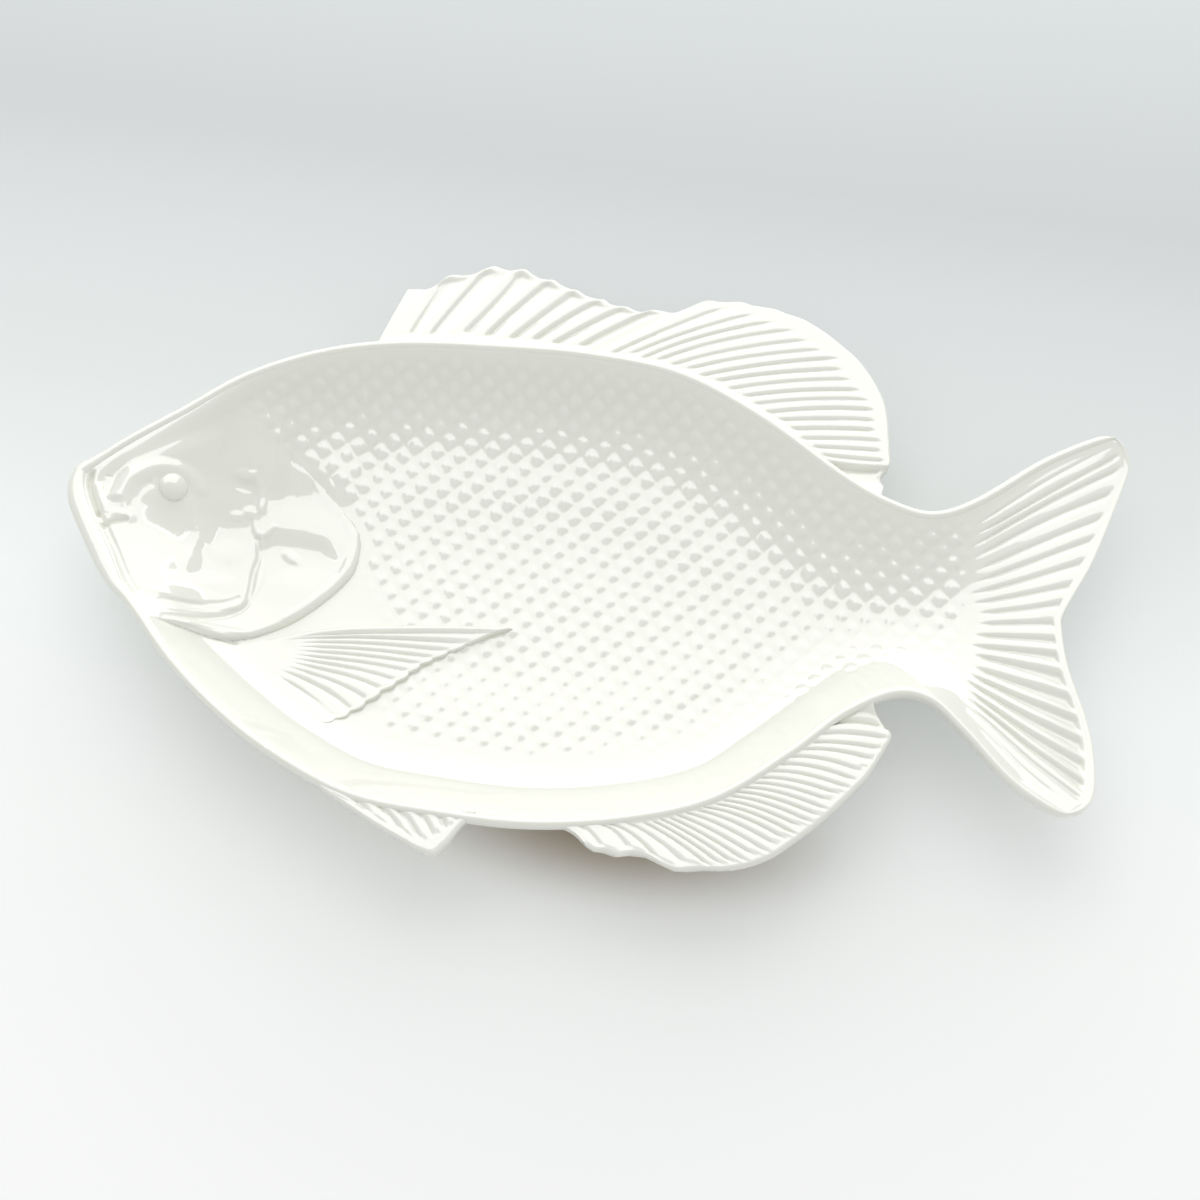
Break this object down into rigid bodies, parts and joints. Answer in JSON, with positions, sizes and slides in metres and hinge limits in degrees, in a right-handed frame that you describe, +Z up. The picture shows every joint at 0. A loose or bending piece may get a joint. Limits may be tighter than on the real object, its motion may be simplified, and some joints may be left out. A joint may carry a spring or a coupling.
{
  "type": "fish shaped serving platter",
  "caption": "Shallow ivory glazed ceramic serving platter in the form of a fish, with moulded head, fins and tail round an oval well, on a foot ring.",
  "frame": {"origin": "middle of the overall box in plan, on the surface that the foot ring stands on", "axes": "+X from the mouth to the tail, +Y towards the back fin, +Z up"},
  "size_m": [0.4611, 0.2876, 0.0412],
  "materials": {
    "glaze": "glossy ivory glaze",
    "bare_clay": "unglazed, wiped foot"
  },
  "bodies": {
    "root": {"well_floor": "glaze", "back_wall": "glaze", "belly_wall": "glaze", "face": "glaze", "gill_cover": "glaze", "upper_lip": "glaze", "lower_jaw": "glaze", "eye": "glaze", "breast_fin": "glaze", "back_rim": "glaze", "belly_rim": "glaze", "tail_rim": "glaze", "spiny_back_fin": "glaze", "rear_back_fin": "glaze", "belly_fin": "glaze", "anal_fin": "glaze", "tail_fin": "glaze", "foot_ring": "bare_clay"}
  },
  "joints": []
}
